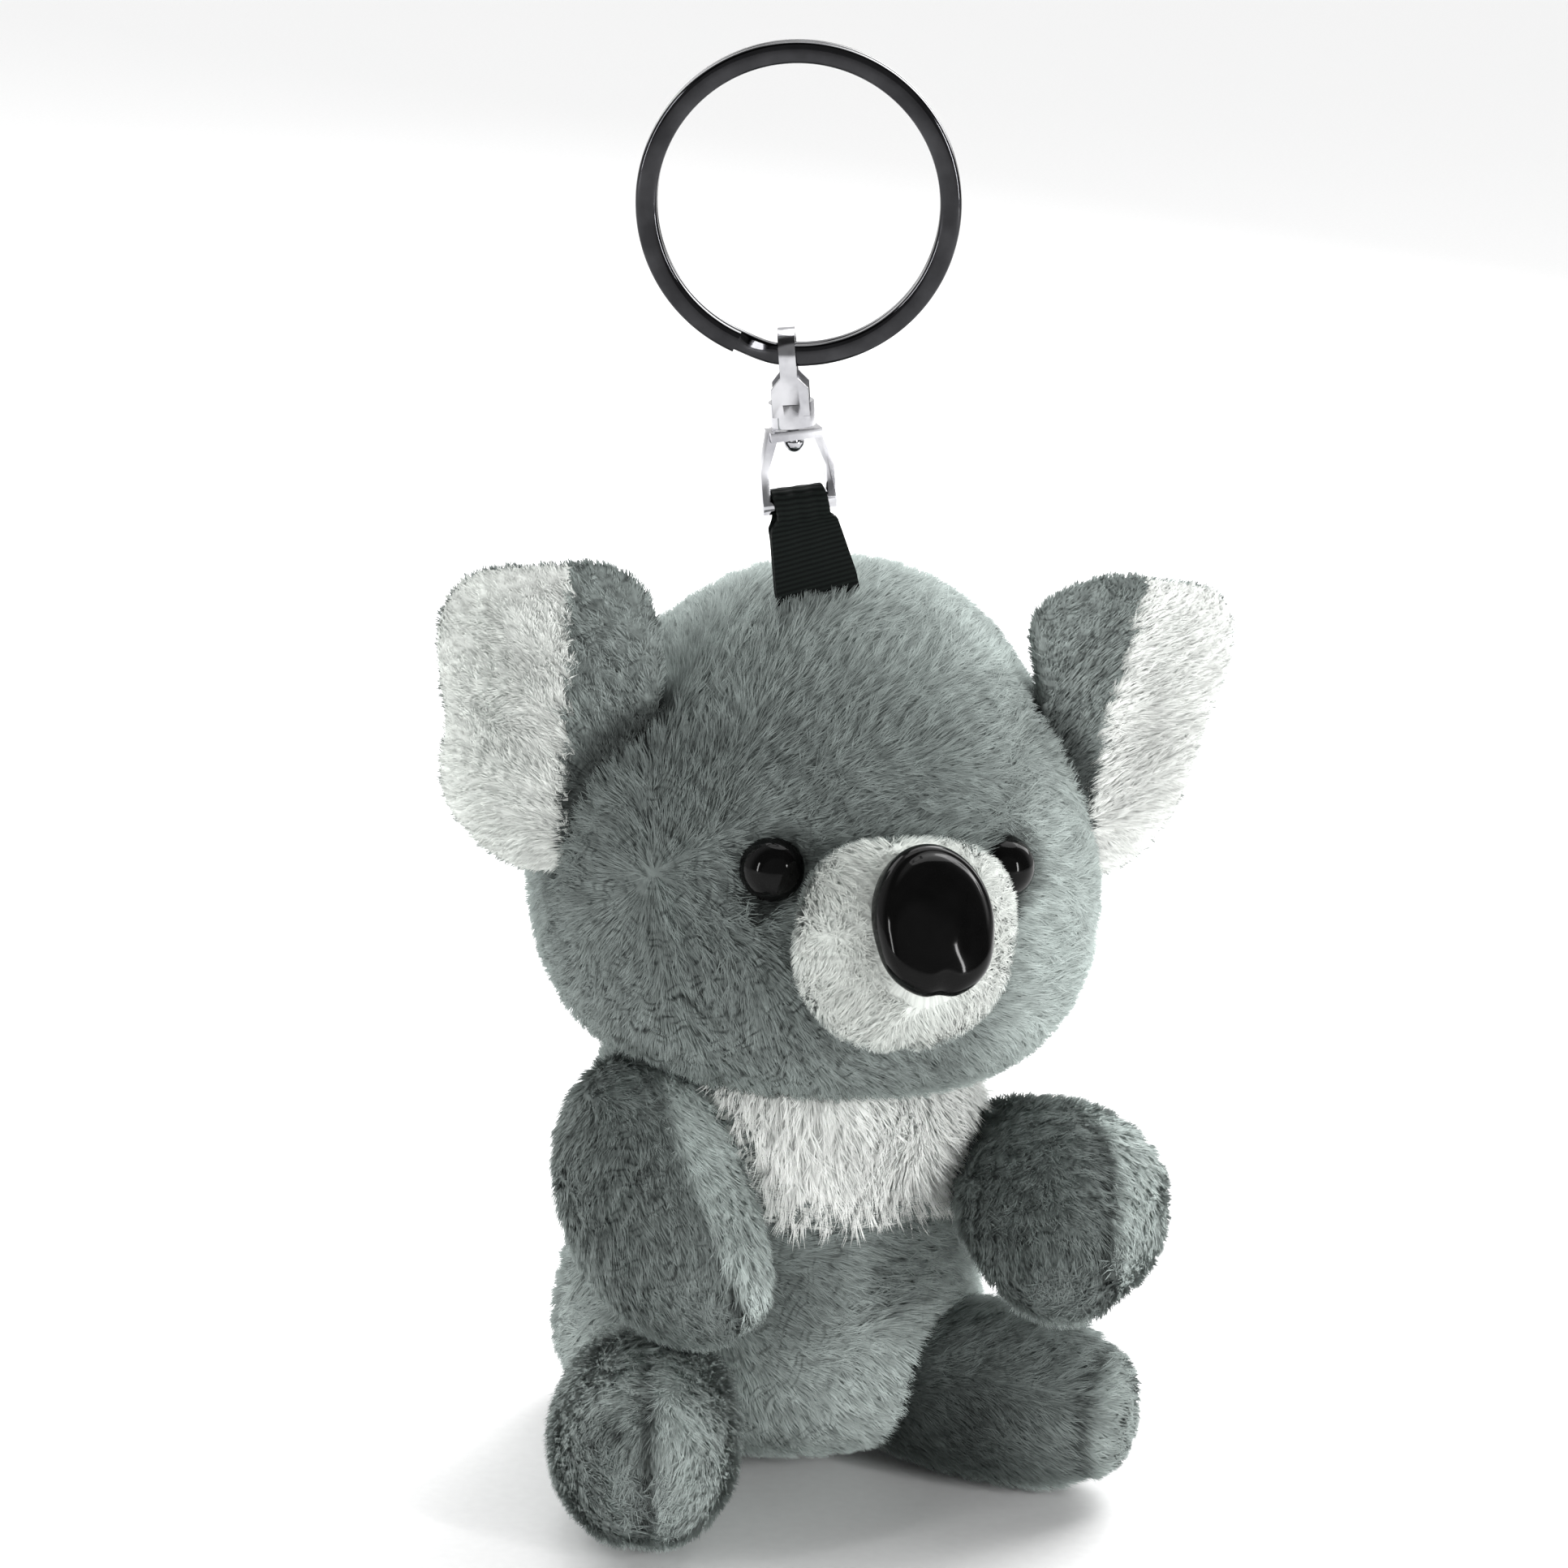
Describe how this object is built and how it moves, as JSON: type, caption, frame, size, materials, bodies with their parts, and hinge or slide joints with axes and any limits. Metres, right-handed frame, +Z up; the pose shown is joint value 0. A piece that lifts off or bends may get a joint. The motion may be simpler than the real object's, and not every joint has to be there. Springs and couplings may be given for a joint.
{
  "type": "plush koala key ring",
  "caption": "Seated plush koala with a ribbon loop in its crown, which carries a swivel and a split ring for keys.",
  "frame": {"origin": "on the ground, under the middle of the seat", "axes": "+X to the koala's left, +Y to its back, +Z up towards the key ring"},
  "size_m": [0.0798, 0.0639, 0.1386],
  "materials": {
    "grey_plush": "short soft pile, cool grey with darker roots",
    "white_plush": "short soft pile, off-white",
    "fibre_filling": "loose polyester fibre",
    "gloss_black": "polished moulded plastic",
    "washer_plastic": "natural",
    "black_ribbon": "fine ribbed weave",
    "nickel": "bright nickel plating",
    "dark_nickel": "polished black nickel plating"
  },
  "bodies": {
    "plush": {"head_skin": "grey_plush", "head_stuffing": "fibre_filling", "muzzle_skin": "white_plush", "muzzle_stuffing": "fibre_filling", "nose": "gloss_black", "nose_washer": "washer_plastic", "torso_skin": "grey_plush", "chest_bib": "white_plush", "torso_stuffing": "fibre_filling", "ribbon_tab": "black_ribbon", "eye_right": "gloss_black", "eye_right_washer": "washer_plastic", "ear_right_back": "grey_plush", "ear_right_front": "white_plush", "arm_right_skin": "grey_plush", "arm_right_stuffing": "fibre_filling", "leg_right_skin": "grey_plush", "leg_right_stuffing": "fibre_filling", "eye_left": "gloss_black", "eye_left_washer": "washer_plastic", "ear_left_back": "grey_plush", "ear_left_front": "white_plush", "arm_left_skin": "grey_plush", "arm_left_stuffing": "fibre_filling", "leg_left_skin": "grey_plush", "leg_left_stuffing": "fibre_filling"},
    "ribbon": {"ribbon_loop": "black_ribbon"},
    "stirrup": {"stirrup": "nickel"},
    "swivel": {"swivel_eye": "nickel", "swivel_rivet": "nickel"},
    "ring": {"split_ring": "dark_nickel"}
  },
  "joints": [
    {"name": "ribbon_fold", "type": "hinge", "parent": "plush", "child": "ribbon", "pos_m": [-0.00376, -0.0062, 0.08793], "axis": [0.9563, 0, 0.2924], "range_deg": [-25, 25]},
    {"name": "stirrup_tilt", "type": "hinge", "parent": "ribbon", "child": "stirrup", "pos_m": [-0.0061, -0.0062, 0.09558], "axis": [0.9877, 0, 0.1564], "range_deg": [-50, 50]},
    {"name": "swivel_spin", "type": "hinge", "parent": "stirrup", "child": "swivel", "pos_m": [-0.0061, -0.0062, 0.09558], "axis": [-0.1564, 0, 0.9877], "continuous": true},
    {"name": "ring_tilt", "type": "hinge", "parent": "swivel", "child": "ring", "pos_m": [-0.00831, -0.0062, 0.10956], "axis": [0.9571, -0.2895, 0.0107], "range_deg": [-60, 60]}
  ]
}
